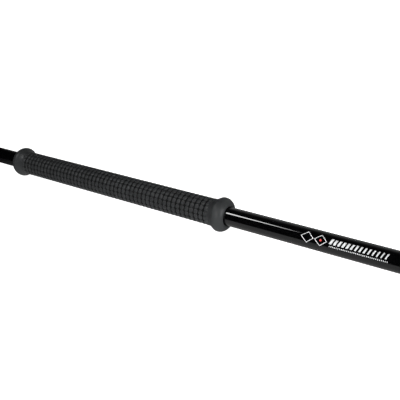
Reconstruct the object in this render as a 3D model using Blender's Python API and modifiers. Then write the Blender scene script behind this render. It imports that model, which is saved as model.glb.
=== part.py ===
"""Devil stick: a lacquered tube with a moulded rubber grip and weighted, capped ends.

Metres, +Z up. The stick lies along X, its near end at +X, and the origin is on
its axis, halfway along. Both ends are alike.
"""

import math

import bmesh
import bpy
from mathutils import Matrix

MM = 0.001
GAP = 0.3 * MM                      # clearance between pieces that touch on the real stick

# Tube
TUBE_LENGTH = 740 * MM
TUBE_RADIUS = 9.5 * MM
TUBE_WALL = 1.5 * MM
TUBE_CHAMFER = 0.4 * MM
TUBE_BORE = TUBE_RADIUS - TUBE_WALL

# Rubber grip
GRIP_RADIUS = 13.3 * MM             # plain collar, just under the tops of the blocks
FLARE_RADIUS = 17.3 * MM
FLARE_PLACE = 148.5 * MM            # crest of each flare, from the middle of the stick
FLARE_NOSE = 8.5 * MM               # outline radius from the crest out to the lip
FLARE_CROWN = 5.0 * MM              # outline radius from the crest in towards the hand
FLARE_HOLLOW = 15.0 * MM            # hollow radius between flare and collar
LIP_ROUND = 0.8 * MM

# Rubber end cap, measured from the tube's end face, outwards positive
CAP_DEPTH = 30 * MM
CAP_THICKNESS = 10 * MM
CAP_MOUTH_RADIUS = 11.4 * MM
CAP_RADIUS = 13.0 * MM
CAP_ROUND = 2.5 * MM
CAP_RECESS_RADIUS = 5.6 * MM
CAP_RECESS_DEPTH = 3.8 * MM
CAP_HOLE_RADIUS = 2.3 * MM
CAP_GROOVE_DEPTH = 0.7 * MM
CAP_GROOVE_WIDTH = 1.6 * MM
CAP_GROOVE_PITCH = 5.0 * MM
CAP_GROOVE_COUNT = 3

# Nylon end plug
PLUG_LENGTH = 40 * MM
PLUG_FLANGE = 2.5 * MM
PLUG_RADIUS = TUBE_BORE - GAP
PLUG_CHAMFER = 1.2 * MM
PILOT_DEPTH = 17 * MM

# Fasteners
SCREW_RADIUS = 1.7 * MM
SCREW_HEAD_RADIUS = 3.6 * MM
SCREW_HEAD_HEIGHT = 2.0 * MM
SCREW_REACH = 15 * MM               # from the tube's end face to the screw's tip
SOCKET_RADIUS = 1.5 * MM
SOCKET_DEPTH = 1.1 * MM
WASHER_RADIUS = 5.2 * MM
WASHER_HOLE_RADIUS = 2.1 * MM
WASHER_THICKNESS = 1.0 * MM
PIN_RADIUS = 1.5 * MM
PIN_PLACE = 23 * MM                 # from the tube's end face, inwards
PIN_CHAMFER = 0.4 * MM

# Balance weight and foam bung
WEIGHT_LENGTH = 20 * MM
WEIGHT_CHAMFER = 1.0 * MM
BUNG_LENGTH = 30 * MM

GRIP_SEGMENTS = 48
CAP_SEGMENTS = 32
TUBE_SEGMENTS = 48
INNER_SEGMENTS = 32
FASTENER_SEGMENTS = 24
PIN_SEGMENTS = 12
MERGE_DISTANCE = 0.01 * MM


# ---------------------------------------------------------------- scene set-up

def clear_scene():
    for obj in list(bpy.data.objects):
        bpy.data.objects.remove(obj, do_unlink=True)


def new_collection(name):
    collection = bpy.data.collections.new(name)
    bpy.context.scene.collection.children.link(collection)
    return collection


def make_material(name, colour, roughness, metallic=0.0, coat=0.0):
    material = bpy.data.materials.new(name)
    material.use_nodes = True
    shader = material.node_tree.nodes["Principled BSDF"]
    shader.inputs["Base Color"].default_value = (*colour, 1.0)
    shader.inputs["Roughness"].default_value = roughness
    shader.inputs["Metallic"].default_value = metallic
    shader.inputs["Coat Weight"].default_value = coat
    material.diffuse_color = (*colour, 1.0)
    return material


def make_materials():
    return {
        "tube": make_material("gloss_black_lacquer", (0.006, 0.006, 0.007), 0.15, coat=1.0),
        "grip": make_material("grip_rubber", (0.035, 0.037, 0.038), 0.6),
        "cap": make_material("cap_rubber", (0.018, 0.018, 0.019), 0.7),
        "plug": make_material("nylon", (0.72, 0.70, 0.64), 0.45),
        "screw": make_material("zinc_plated_steel", (0.62, 0.63, 0.64), 0.3, metallic=1.0),
        "washer": make_material("bright_steel", (0.68, 0.68, 0.67), 0.25, metallic=1.0),
        "pin": make_material("spring_steel", (0.30, 0.30, 0.31), 0.35, metallic=1.0),
        "weight": make_material("turned_steel", (0.50, 0.50, 0.51), 0.35, metallic=1.0),
        "bung": make_material("grey_foam", (0.20, 0.20, 0.21), 0.95),
    }


def make_empty(name, collection, parent=None, location=(0, 0, 0), rotation=(0, 0, 0)):
    empty = bpy.data.objects.new(name, None)
    empty.empty_display_size = 0.02
    empty.location = location
    empty.rotation_euler = rotation
    empty.parent = parent
    collection.objects.link(empty)
    return empty


# ---------------------------------------------------------------- shape helpers

def arc(centre_r, centre_z, radius, start, end, steps):
    """Points (r, z) on an arc; angles in degrees, 0 along +r and 90 along +z."""
    points = []
    for i in range(steps + 1):
        angle = math.radians(start + (end - start) * i / steps)
        points.append((centre_r + radius * math.cos(angle), centre_z + radius * math.sin(angle)))
    return points


def turned_mesh(name, profile, segments, closed):
    """Spin an (r, z) outline about Z. One flat of the result faces local +X and -X."""
    outline = bmesh.new()
    corners = [outline.verts.new((r, 0.0, z)) for r, z in profile]
    for first, second in zip(corners, corners[1:]):
        outline.edges.new((first, second))
    if closed:
        outline.edges.new((corners[-1], corners[0]))
    bmesh.ops.rotate(outline, verts=outline.verts, matrix=Matrix.Rotation(math.pi / segments, 3, "Z"))
    mesh = bpy.data.meshes.new(name)
    outline.to_mesh(mesh)
    outline.free()
    blank = bpy.data.objects.new(name + "_outline", mesh)
    bpy.context.scene.collection.objects.link(blank)
    screw = blank.modifiers.new("Screw", "SCREW")
    screw.angle = 2 * math.pi
    screw.steps = segments
    screw.render_steps = segments
    screw.use_merge_vertices = True
    screw.merge_threshold = MERGE_DISTANCE
    return baked_mesh(blank, name)


def baked_mesh(obj, name):
    """The object's mesh with its modifiers applied; the object itself is removed."""
    depsgraph = bpy.context.evaluated_depsgraph_get()
    mesh = bpy.data.meshes.new_from_object(obj.evaluated_get(depsgraph))
    mesh.name = name
    bpy.data.objects.remove(obj, do_unlink=True)
    mesh.shade_smooth()
    mesh.set_sharp_from_angle(angle=math.radians(32))
    return mesh


def place(name, mesh, material, collection, parent, location=(0, 0, 0), rotation=(0, 0, 0)):
    obj = bpy.data.objects.new(name, mesh)
    obj.location = location
    obj.rotation_euler = rotation
    obj.parent = parent
    collection.objects.link(obj)
    if not mesh.materials:
        mesh.materials.append(material)
    return obj


def cylinder_mesh(name, radius, length, segments):
    shape = bmesh.new()
    bmesh.ops.create_cone(shape, cap_ends=True, segments=segments, radius1=radius, radius2=radius,
                          depth=length)
    mesh = bpy.data.meshes.new(name)
    shape.to_mesh(mesh)
    shape.free()
    return mesh


def place_cutter(name, mesh, collection, parent, location, rotation=(0, 0, 0)):
    cutter = bpy.data.objects.new(name, mesh)
    cutter.location = location
    cutter.rotation_euler = rotation
    cutter.parent = parent
    cutter.hide_render = True
    cutter.display_type = "WIRE"
    collection.objects.link(cutter)
    return cutter


def cut(obj, cutter):
    boolean = obj.modifiers.new("Cut " + cutter.name, "BOOLEAN")
    boolean.operation = "DIFFERENCE"
    boolean.solver = "EXACT"
    boolean.object = cutter


# ---------------------------------------------------------------- shaft and grip

def tube_profile():
    half = TUBE_LENGTH / 2
    outer = [
        (TUBE_RADIUS - TUBE_CHAMFER, half),
        (TUBE_RADIUS, half - TUBE_CHAMFER),
        (TUBE_RADIUS, -half + TUBE_CHAMFER),
        (TUBE_RADIUS - TUBE_CHAMFER, -half),
    ]
    inner = [
        (TUBE_BORE, -half),
        (TUBE_BORE, half),
    ]
    return outer + inner


def flare_outline():
    """Upper flare of the grip from its lip at the bore down to the plain collar."""
    lip_r = TUBE_RADIUS + GAP + LIP_ROUND
    nose_r = FLARE_RADIUS - FLARE_NOSE
    lip_drop = math.sqrt((FLARE_NOSE - LIP_ROUND) ** 2 - (lip_r - nose_r) ** 2)
    lip_angle = math.degrees(math.atan2(lip_drop, lip_r - nose_r))
    lip = arc(lip_r, FLARE_PLACE + lip_drop, LIP_ROUND, 180, lip_angle, 3)
    nose = arc(nose_r, FLARE_PLACE, FLARE_NOSE, lip_angle, 0, 7)

    crown_r = FLARE_RADIUS - FLARE_CROWN
    hollow_r = GRIP_RADIUS + FLARE_HOLLOW
    reach = math.sqrt((FLARE_CROWN + FLARE_HOLLOW) ** 2 - (hollow_r - crown_r) ** 2)
    turn = math.degrees(math.atan2(reach, hollow_r - crown_r))
    crown = arc(crown_r, FLARE_PLACE, FLARE_CROWN, 0, -turn, 3)
    hollow = arc(hollow_r, FLARE_PLACE - reach, FLARE_HOLLOW, 180 - turn, 180, 5)
    return lip + nose[1:] + crown[1:] + hollow[1:]


def grip_profile():
    upper = flare_outline()
    lower = [(r, -z) for r, z in reversed(upper)]
    return upper + lower


# ---------------------------------------------------------------- end pieces

def cap_profile():
    """Rubber cup over the tube's end, its flat end face outermost."""
    inner_r = TUBE_RADIUS + GAP
    floor_z = PLUG_FLANGE + 2 * GAP
    chamfer = 0.6 * MM
    top = [
        (CAP_HOLE_RADIUS, CAP_THICKNESS - CAP_RECESS_DEPTH),
        (CAP_RECESS_RADIUS, CAP_THICKNESS - CAP_RECESS_DEPTH),
        (CAP_RECESS_RADIUS, CAP_THICKNESS - chamfer),
        (CAP_RECESS_RADIUS + chamfer, CAP_THICKNESS),
    ]
    shoulder = arc(CAP_RADIUS - CAP_ROUND, CAP_THICKNESS - CAP_ROUND, CAP_ROUND, 90, 0, 4)
    grooves = []
    for i in range(CAP_GROOVE_COUNT):
        middle = -i * CAP_GROOVE_PITCH
        half = CAP_GROOVE_WIDTH / 2
        grooves.append((CAP_RADIUS, middle + half))
        grooves.append((CAP_RADIUS - CAP_GROOVE_DEPTH, middle + half / 2))
        grooves.append((CAP_RADIUS - CAP_GROOVE_DEPTH, middle - half / 2))
        grooves.append((CAP_RADIUS, middle - half))
    skirt_end = -CAP_GROOVE_COUNT * CAP_GROOVE_PITCH
    mouth = [
        (CAP_RADIUS, skirt_end),
        (CAP_MOUTH_RADIUS, -CAP_DEPTH + 0.8 * MM),
        (CAP_MOUTH_RADIUS - 0.8 * MM, -CAP_DEPTH),
        (inner_r, -CAP_DEPTH),
    ]
    inside = [
        (inner_r, floor_z),
        (CAP_HOLE_RADIUS, floor_z),
    ]
    return top + shoulder + grooves + mouth + inside


def plug_profile():
    """Flanged plug: flange outside the tube's end face, body inside the bore."""
    flange_top = GAP + PLUG_FLANGE
    pilot_r = SCREW_RADIUS + GAP
    return [
        (0.0, -PILOT_DEPTH),
        (pilot_r, -PILOT_DEPTH),
        (pilot_r, flange_top),
        (TUBE_RADIUS - TUBE_CHAMFER, flange_top),
        (TUBE_RADIUS, flange_top - TUBE_CHAMFER),
        (TUBE_RADIUS, GAP),
        (PLUG_RADIUS, GAP),
        (PLUG_RADIUS, -PLUG_LENGTH + PLUG_CHAMFER),
        (PLUG_RADIUS - PLUG_CHAMFER, -PLUG_LENGTH),
        (0.0, -PLUG_LENGTH),
    ]


def washer_profile():
    bottom = CAP_THICKNESS - CAP_RECESS_DEPTH + GAP
    top = bottom + WASHER_THICKNESS
    return [
        (WASHER_HOLE_RADIUS, top),
        (WASHER_RADIUS, top),
        (WASHER_RADIUS, bottom),
        (WASHER_HOLE_RADIUS, bottom),
    ]


def screw_head_bottom():
    return CAP_THICKNESS - CAP_RECESS_DEPTH + GAP + WASHER_THICKNESS + GAP


def screw_profile():
    """Button-head screw, its head's underside on the washer."""
    bottom = screw_head_bottom()
    rim = 0.5 * MM
    rise = SCREW_HEAD_HEIGHT - rim
    dome_radius = (SCREW_HEAD_RADIUS ** 2 + rise ** 2) / (2 * rise)
    centre_z = bottom + SCREW_HEAD_HEIGHT - dome_radius
    edge_angle = math.degrees(math.asin((dome_radius - rise) / dome_radius))
    dome = arc(0.0, centre_z, dome_radius, 90, edge_angle, 5)
    return [(0.0, dome[0][1])] + dome[1:] + [
        (SCREW_HEAD_RADIUS, bottom),
        (SCREW_RADIUS, bottom),
        (SCREW_RADIUS, -SCREW_REACH + 2 * SCREW_RADIUS),
        (0.3 * MM, -SCREW_REACH),
        (0.0, -SCREW_REACH),
    ]


def slug_profile(radius, length, chamfer):
    return [
        (0.0, 0.0),
        (radius - chamfer, 0.0),
        (radius, -chamfer),
        (radius, -length + chamfer),
        (radius - chamfer, -length),
        (0.0, -length),
    ]


def make_end_meshes():
    """The meshes that both ends share, in the frame of the tube's end face."""
    pin_length = 2 * (TUBE_RADIUS - GAP)
    return {
        "end_cap": turned_mesh("end_cap", cap_profile(), CAP_SEGMENTS, closed=True),
        "end_plug": turned_mesh("end_plug", plug_profile(), INNER_SEGMENTS, closed=False),
        "cap_washer": turned_mesh("cap_washer", washer_profile(), FASTENER_SEGMENTS, closed=True),
        "cap_screw": turned_mesh("cap_screw", screw_profile(), FASTENER_SEGMENTS, closed=False),
        "plug_pin": turned_mesh(
            "plug_pin", slug_profile(PIN_RADIUS, pin_length, PIN_CHAMFER), PIN_SEGMENTS, closed=False),
        "balance_weight": turned_mesh(
            "balance_weight", slug_profile(PLUG_RADIUS, WEIGHT_LENGTH, WEIGHT_CHAMFER),
            INNER_SEGMENTS, closed=False),
        "foam_bung": turned_mesh(
            "foam_bung", slug_profile(PLUG_RADIUS, BUNG_LENGTH, 0.5 * MM), INNER_SEGMENTS, closed=False),
    }


def build_end(side, end, meshes, materials, stick, cutters):
    """All pieces of one end under its empty. Returns the cutter of the pin's cross hole."""
    across = (math.pi / 2, 0, 0)
    pin_hole = place_cutter(
        "pin_hole_" + side, cylinder_mesh("pin_hole", PIN_RADIUS + GAP, 4 * TUBE_RADIUS, PIN_SEGMENTS),
        cutters, end, (0, 0, -PIN_PLACE), across)
    socket_z = screw_head_bottom() + SCREW_HEAD_HEIGHT
    socket = place_cutter(
        "socket_" + side, cylinder_mesh("socket", SOCKET_RADIUS, 2 * SOCKET_DEPTH, 6),
        cutters, end, (0, 0, socket_z))

    place("end_cap_" + side, meshes["end_cap"], materials["cap"], stick, end)
    plug = place("end_plug_" + side, meshes["end_plug"], materials["plug"], stick, end)
    cut(plug, pin_hole)
    place("cap_washer_" + side, meshes["cap_washer"], materials["washer"], stick, end)
    screw = place("cap_screw_" + side, meshes["cap_screw"], materials["screw"], stick, end)
    cut(screw, socket)
    place("plug_pin_" + side, meshes["plug_pin"], materials["pin"], stick, end,
          (0, -(TUBE_RADIUS - GAP), -PIN_PLACE), across)
    weight_z = -PLUG_LENGTH - GAP
    place("balance_weight_" + side, meshes["balance_weight"], materials["weight"], stick, end,
          (0, 0, weight_z))
    bung_z = weight_z - WEIGHT_LENGTH - GAP
    place("foam_bung_" + side, meshes["foam_bung"], materials["bung"], stick, end, (0, 0, bung_z))
    return pin_hole


def build():
    clear_scene()
    stick = new_collection("devil_stick")
    cutters = new_collection("cutters")
    materials = make_materials()

    axis = make_empty("stick_axis", stick, rotation=(0, math.pi / 2, 0))
    near = make_empty("end_near", stick, axis, (0, 0, TUBE_LENGTH / 2))
    far = make_empty("end_far", stick, axis, (0, 0, -TUBE_LENGTH / 2), (math.pi, 0, 0))

    tube_mesh = turned_mesh("shaft_tube", tube_profile(), TUBE_SEGMENTS, closed=True)
    tube = place("shaft_tube", tube_mesh, materials["tube"], stick, axis)
    grip_mesh = turned_mesh("grip_sleeve", grip_profile(), GRIP_SEGMENTS, closed=True)
    place("grip_sleeve", grip_mesh, materials["grip"], stick, axis)

    meshes = make_end_meshes()
    for side, end in (("near", near), ("far", far)):
        pin_hole = build_end(side, end, meshes, materials, stick, cutters)
        cut(tube, pin_hole)


build()
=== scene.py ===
"""Devil stick: the finished surfaces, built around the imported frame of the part.

Metres, +Z up. The stick lies along X, its near end at +X, and the origin is on its
axis, halfway along. Angles round the stick start at its -Y side and turn towards +Z.
"""

import math

import bmesh
import bpy
from bpy.props import FloatProperty, FloatVectorProperty, IntProperty, PointerProperty
from mathutils import Matrix, Vector


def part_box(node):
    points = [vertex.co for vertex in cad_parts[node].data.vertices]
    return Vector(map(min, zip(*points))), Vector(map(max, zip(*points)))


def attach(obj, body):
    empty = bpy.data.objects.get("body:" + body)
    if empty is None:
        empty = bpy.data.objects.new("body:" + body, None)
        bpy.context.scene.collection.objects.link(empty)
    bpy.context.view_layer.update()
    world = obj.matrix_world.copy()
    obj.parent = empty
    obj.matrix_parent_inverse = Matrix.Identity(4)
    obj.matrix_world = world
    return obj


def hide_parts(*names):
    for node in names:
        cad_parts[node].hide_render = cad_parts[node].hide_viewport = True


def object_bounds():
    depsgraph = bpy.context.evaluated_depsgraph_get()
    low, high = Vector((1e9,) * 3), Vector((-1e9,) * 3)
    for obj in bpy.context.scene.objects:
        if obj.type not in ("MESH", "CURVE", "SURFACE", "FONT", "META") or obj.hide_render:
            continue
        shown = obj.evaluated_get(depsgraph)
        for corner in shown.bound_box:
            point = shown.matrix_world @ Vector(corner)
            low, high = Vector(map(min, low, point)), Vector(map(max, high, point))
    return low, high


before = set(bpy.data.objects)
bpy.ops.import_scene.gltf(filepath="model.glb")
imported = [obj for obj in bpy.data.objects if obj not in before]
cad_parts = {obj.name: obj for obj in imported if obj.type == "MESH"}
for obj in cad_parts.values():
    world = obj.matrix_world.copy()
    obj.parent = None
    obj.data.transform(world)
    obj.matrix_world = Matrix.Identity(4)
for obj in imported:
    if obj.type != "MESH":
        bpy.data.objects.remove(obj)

bl_info = {
    "name": "Devil stick",
    "version": (1, 0, 0),
    "blender": (4, 5, 0),
    "location": "View3D > Sidebar > Devil stick",
    "description": "Builds a juggling stick with a moulded rubber grip, its print, caps and studio",
    "category": "Mesh",
}

MM = 0.001
MERGE_DISTANCE = 0.002 * MM
SIDES = ("near", "far")
BODY = "root"

# Sizes that the frame gives
CAD_LOW, CAD_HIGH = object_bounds()
TUBE_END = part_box("shaft_tube")[1].x
TUBE_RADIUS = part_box("shaft_tube")[1].z
GRIP_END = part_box("grip_sleeve")[1].x
FLARE_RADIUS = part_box("grip_sleeve")[1].z
CAP_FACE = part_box("end_cap_near")[1].x
CAP_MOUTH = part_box("end_cap_near")[0].x
CAP_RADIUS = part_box("end_cap_near")[1].z
PIN_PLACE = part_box("plug_pin_near")[0].lerp(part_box("plug_pin_near")[1], 0.5).x
PIN_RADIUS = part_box("plug_pin_near")[1].z
WASHER_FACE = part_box("cap_washer_near")[1].x
WASHER_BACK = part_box("cap_washer_near")[0].x
WASHER_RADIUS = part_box("cap_washer_near")[1].z
SCREW_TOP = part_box("cap_screw_near")[1].x
SCREW_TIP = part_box("cap_screw_near")[0].x
SCREW_HEAD_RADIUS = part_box("cap_screw_near")[1].z


# -------------------- sizes and colours to change

def length_setting(name, description, default):
    return FloatProperty(name=name, description=description, default=default, unit="LENGTH")


def angle_setting(name, description, degrees):
    return FloatProperty(name=name, description=description, default=math.radians(degrees), subtype="ANGLE")


def count_setting(name, description, default, least=1):
    return IntProperty(name=name, description=description, default=default, min=least)


def colour_setting(name, description, default):
    return FloatVectorProperty(name=name, description=description, default=default, subtype="COLOR")


class DEVILSTICK_PG_tube(bpy.types.PropertyGroup):
    wall: length_setting("Wall", "Wall thickness", 1.5 * MM)
    chamfer: length_setting("Chamfer", "Broken edge at each end", 0.4 * MM)
    steps: count_setting("Steps", "Sides of the round tube", 128, 32)
    colour: colour_setting("Lacquer", "Colour of the lacquer", (0.0010, 0.0010, 0.0012))


class DEVILSTICK_PG_grip(bpy.types.PropertyGroup):
    radius: length_setting("Radius", "Radius of the grip under its blocks' crowns", 13.55 * MM)
    bore: length_setting("Bore", "Radius of the bore", 9.75 * MM)
    rings: count_setting("Rings", "Rings of blocks along the grip", 49)
    rows: count_setting("Rows", "Blocks in each ring", 16, 3)
    ring_pitch: length_setting("Ring pitch", "From one ring of blocks to the next", 5.704 * MM)
    row_phase: angle_setting("Row phase", "Where the first lengthwise groove lies", -1.5)
    ring_groove: length_setting("Ring groove", "Floor width of the grooves round the grip", 1.1 * MM)
    row_groove: length_setting("Lengthwise groove", "Floor width of the grooves along the grip", 0.28 * MM)
    groove_depth: length_setting("Groove depth", "Depth of all the grooves", 1.2 * MM)
    crown: length_setting("Crown", "How far a block bulges", 0.2 * MM)
    flare_place: length_setting("Flare place", "Crest of each flare, from the middle", 148.5 * MM)
    colour: colour_setting("Rubber", "Colour of the rubber", (0.0250, 0.0265, 0.0275))


class DEVILSTICK_PG_print(bpy.types.PropertyGroup):
    film: length_setting("Film", "Thickness of the ink", 0.03 * MM)
    start: length_setting("Start", "Where the print begins along the stick", 239.5 * MM)
    turn: angle_setting("Turn", "Middle line of the lozenges round the tube", 29)
    lozenge_length: length_setting("Lozenge length", "Tip to tip along the stick", 12.4 * MM)
    lozenge_height: length_setting("Lozenge height", "Tip to tip round the tube", 10.5 * MM)
    stroke: length_setting("Stroke", "Width of the lozenges' lines", 0.55 * MM)
    dot: length_setting("Dot", "Radius of the dot", 1.1 * MM)
    bars: count_setting("Bars", "Slanted bars in the band", 14)
    dashes: count_setting("Dashes", "Dashes in the fine line", 33)
    white: colour_setting("White ink", "Colour of the white ink", (0.74, 0.75, 0.76))
    red: colour_setting("Red ink", "Colour of the dot", (0.72, 0.055, 0.05))


class DEVILSTICK_PG_ends(bpy.types.PropertyGroup):
    steps: count_setting("Steps", "Sides of the round end pieces", 96, 24)
    edge: length_setting("Edge", "Rounding of the cap's small edges", 0.22 * MM)
    colour: colour_setting("Cap rubber", "Colour of the caps", (0.018, 0.018, 0.019))
    socket: length_setting("Socket", "Hexagon socket across its corners", 3.0 * MM)


class DEVILSTICK_PG_stage(bpy.types.PropertyGroup):
    azimuth: angle_setting("Azimuth", "Camera's turn round the stick", 36.24)
    elevation: angle_setting("Elevation", "Camera's height angle", 20.70)
    aim: FloatVectorProperty(
        name="Aim", description="Point in the middle of the view", default=(0.1215, 0.0, 0.00924),
        subtype="TRANSLATION", unit="LENGTH")
    distance: length_setting("Distance", "Camera to aim", 0.631)
    lens: FloatProperty(name="Lens", description="Focal length in millimetres", default=56.43)
    floor_size: length_setting("Floor", "Floor's side", 40.0)


SETTINGS = {
    "devilstick_tube": DEVILSTICK_PG_tube,
    "devilstick_grip": DEVILSTICK_PG_grip,
    "devilstick_print": DEVILSTICK_PG_print,
    "devilstick_ends": DEVILSTICK_PG_ends,
    "devilstick_stage": DEVILSTICK_PG_stage,
}


# -------------------- node helpers

def set_inputs(tree, node, inputs):
    """Fill a node's inputs with values, or link them from sockets."""
    for name, value in inputs.items():
        if isinstance(value, bpy.types.NodeSocket):
            tree.links.new(value, node.inputs[name])
        else:
            node.inputs[name].default_value = value


def add_node(tree, kind, inputs=None, **settings):
    """A new node with its inputs filled; settings are its own options."""
    node = tree.nodes.new(kind)
    for name, value in settings.items():
        setattr(node, name, value)
    set_inputs(tree, node, inputs or {})
    return node


def add_math(tree, operation, first, second=0.0, clamp=False):
    inputs = {0: first, 1: second}
    return add_node(tree, "ShaderNodeMath", inputs, operation=operation, use_clamp=clamp).outputs[0]


def add_range(tree, value, low, high, to_low=0.0, to_high=1.0):
    inputs = {"Value": value, "From Min": low, "From Max": high, "To Min": to_low, "To Max": to_high}
    return add_node(tree, "ShaderNodeMapRange", inputs, clamp=True).outputs["Result"]


def add_mix(tree, factor, first, second):
    inputs = {"Factor": factor, 6: first, 7: second}
    return add_node(tree, "ShaderNodeMix", inputs, data_type="RGBA").outputs[2]


def add_noise(tree, place, scale, detail, roughness=0.5):
    inputs = {"Vector": place, "Scale": scale, "Detail": detail, "Roughness": roughness}
    return add_node(tree, "ShaderNodeTexNoise", inputs).outputs["Fac"]


def add_bump(tree, height, strength, distance):
    inputs = {"Height": height, "Strength": strength, "Distance": distance}
    return add_node(tree, "ShaderNodeBump", inputs).outputs["Normal"]


def off_axis(tree, vector):
    """A vector's part along X, and the length of the rest."""
    split = add_node(tree, "ShaderNodeSeparateXYZ", {0: vector}).outputs
    across = add_node(tree, "ShaderNodeCombineXYZ", {"Y": split["Y"], "Z": split["Z"]})
    rest = add_node(tree, "ShaderNodeVectorMath", {0: across.outputs[0]}, operation="LENGTH")
    return split["X"], rest.outputs["Value"]


def object_coordinates(tree):
    return add_node(tree, "ShaderNodeTexCoord").outputs["Object"]


def rgba(colour, gain=1.0):
    return (*(channel * gain for channel in colour), 1.0)


def new_group(name, numbers, outputs):
    """A shader node group with a Vector and named numbers going in, and named numbers coming out."""
    group = bpy.data.node_groups.new(name, "ShaderNodeTree")
    group.interface.new_socket("Vector", in_out="INPUT", socket_type="NodeSocketVector")
    for label, default in numbers.items():
        socket = group.interface.new_socket(label, in_out="INPUT", socket_type="NodeSocketFloat")
        socket.default_value = default
    for label in outputs:
        group.interface.new_socket(label, in_out="OUTPUT", socket_type="NodeSocketFloat")
    return group, group.nodes.new("NodeGroupInput").outputs, group.nodes.new("NodeGroupOutput")


def use_group(tree, name, **inputs):
    """Place a shared effect, which is built the first time that it is used."""
    node = tree.nodes.new("ShaderNodeGroup")
    node.node_tree = bpy.data.node_groups.get(name) or EFFECTS[name]()
    set_inputs(tree, node, inputs)
    return node.outputs


# -------------------- shared surface effects

SCRATCH_RUNS = (
    # turn and stretch of the noise whose middle line draws the scratches
    ((0.0, 0.35, 0.2), (9.0, 0.6, 0.6)),
    ((0.3, -0.2, 0.1), (0.5, 8.0, 8.0)),
)
SPECKS_PER_PATCH = 40.0


def group_fine_grain():
    """Fine even noise: a value between Low and High, and the raw height for a bump."""
    group, given, result = new_group(
        "Fine grain", {"Scale": 1000.0, "Low": 0.3, "High": 0.6}, ("Value", "Height"))
    height = add_noise(group, given["Vector"], given["Scale"], 4.0, 0.6)
    value = add_range(group, height, 0.32, 0.68, given["Low"], given["High"])
    set_inputs(group, result, {"Value": value, "Height": height})
    return group


def group_edge_wear():
    """Worn convex edges: Mask is 1 on the most rubbed spots."""
    group, given, result = new_group(
        "Edge wear", {"Scale": 300.0, "Start": 0.51, "End": 0.60}, ("Mask",))
    pointiness = add_node(group, "ShaderNodeNewGeometry").outputs["Pointiness"]
    edge = add_range(group, pointiness, given["Start"], given["End"])
    broken = add_range(group, add_noise(group, given["Vector"], given["Scale"], 5.0), 0.35, 0.65)
    set_inputs(group, result, {"Mask": add_math(group, "MULTIPLY", edge, broken, clamp=True)})
    return group


def group_settled_dust():
    """Dust on faces that look up, in soft patches with a few specks."""
    group, given, result = new_group("Settled dust", {"Scale": 60.0, "Amount": 0.2}, ("Mask",))
    normal = add_node(group, "ShaderNodeTexCoord").outputs["Normal"]
    upward = add_node(group, "ShaderNodeSeparateXYZ", {0: normal}).outputs["Z"]
    facing = add_range(group, upward, -0.2, 1.0)
    soft = add_range(group, add_noise(group, given["Vector"], given["Scale"], 6.0), 0.35, 0.75)
    speck_scale = add_math(group, "MULTIPLY", given["Scale"], SPECKS_PER_PATCH)
    hard = add_range(group, add_noise(group, given["Vector"], speck_scale, 1.0), 0.68, 0.74)
    lying = add_math(group, "MULTIPLY", add_math(group, "MAXIMUM", soft, hard), facing)
    set_inputs(group, result, {"Mask": add_math(group, "MULTIPLY", lying, given["Amount"], clamp=True)})
    return group


def group_groove_depth():
    """Depth in the grooves: Mask is 1 at radius Low, and 0 at radius High or past Reach along X."""
    group, given, result = new_group(
        "Groove depth", {"Low": 0.012, "High": 0.013, "Reach": 0.1}, ("Mask",))
    x, radius = off_axis(group, given["Vector"])
    depth = add_range(group, radius, given["Low"], given["High"], 1.0, 0.0)
    inside = add_math(group, "LESS_THAN", add_math(group, "ABSOLUTE", x), given["Reach"])
    set_inputs(group, result, {"Mask": add_math(group, "MULTIPLY", depth, inside)})
    return group


def group_hair_scratches():
    """Hair-fine handling marks that run nearly round the stick and a few along it."""
    group, given, result = new_group("Hair scratches", {"Scale": 60.0, "Amount": 0.5}, ("Mask",))
    marks = []
    for turned_by, stretch in SCRATCH_RUNS:
        turned = add_node(group, "ShaderNodeMapping", {
            "Vector": given["Vector"], "Rotation": turned_by, "Scale": stretch})
        noise = add_noise(group, turned.outputs["Vector"], given["Scale"], 2.0)
        off_line = add_math(group, "ABSOLUTE", add_math(group, "SUBTRACT", noise, 0.5))
        marks.append(add_range(group, off_line, 0.0, 0.006, 1.0, 0.0))
    where = add_range(group, add_noise(group, given["Vector"], 25.0, 3.0), 0.48, 0.65)
    shown = add_math(group, "MULTIPLY", add_math(group, "MAXIMUM", *marks), where)
    set_inputs(group, result, {"Mask": add_math(group, "MULTIPLY", shown, given["Amount"], clamp=True)})
    return group


def group_turned_marks():
    """Rings that a lathe tool leaves round the X axis, and the same on faces square to it."""
    group, given, result = new_group("Turned marks", {"Pitch": 0.2 * MM}, ("Height",))
    x, radius = off_axis(group, given["Vector"])
    turns = add_math(group, "DIVIDE", add_math(group, "ADD", radius, x), given["Pitch"])
    wave = add_math(group, "SINE", add_math(group, "MULTIPLY", turns, 2 * math.pi))
    set_inputs(group, result, {"Height": add_range(group, wave, -1.0, 1.0)})
    return group


EFFECTS = {
    "Fine grain": group_fine_grain,
    "Edge wear": group_edge_wear,
    "Settled dust": group_settled_dust,
    "Groove depth": group_groove_depth,
    "Hair scratches": group_hair_scratches,
    "Turned marks": group_turned_marks,
}


# -------------------- materials

LACQUER_DUST = (0.10, 0.10, 0.105, 1.0)
RUBBER_DUST = (0.12, 0.12, 0.118, 1.0)
FOAM_PORE = (0.11, 0.11, 0.115, 1.0)
FOAM_WALL = (0.24, 0.24, 0.25, 1.0)
WORN_GAIN = 2.2                     # how much paler rubbed rubber is
GROOVE_SHADE_GAIN = 0.06                   # painted shade: how much darker the rubber is painted at the bottom of its grooves
GROOVE_ROUGHNESS = 0.5


def empty_material(name):
    material = bpy.data.materials.new(name)
    material.use_nodes = True
    material.node_tree.nodes.clear()
    return material, material.node_tree


def new_material(name, roughness, metallic=0.0):
    """A material with only its shader; gives the material, its tree and the shader."""
    material, tree = empty_material(name)
    shader = add_node(tree, "ShaderNodeBsdfPrincipled", {"Roughness": roughness, "Metallic": metallic})
    add_node(tree, "ShaderNodeOutputMaterial", {"Surface": shader.outputs["BSDF"]})
    return material, tree, shader


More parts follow.
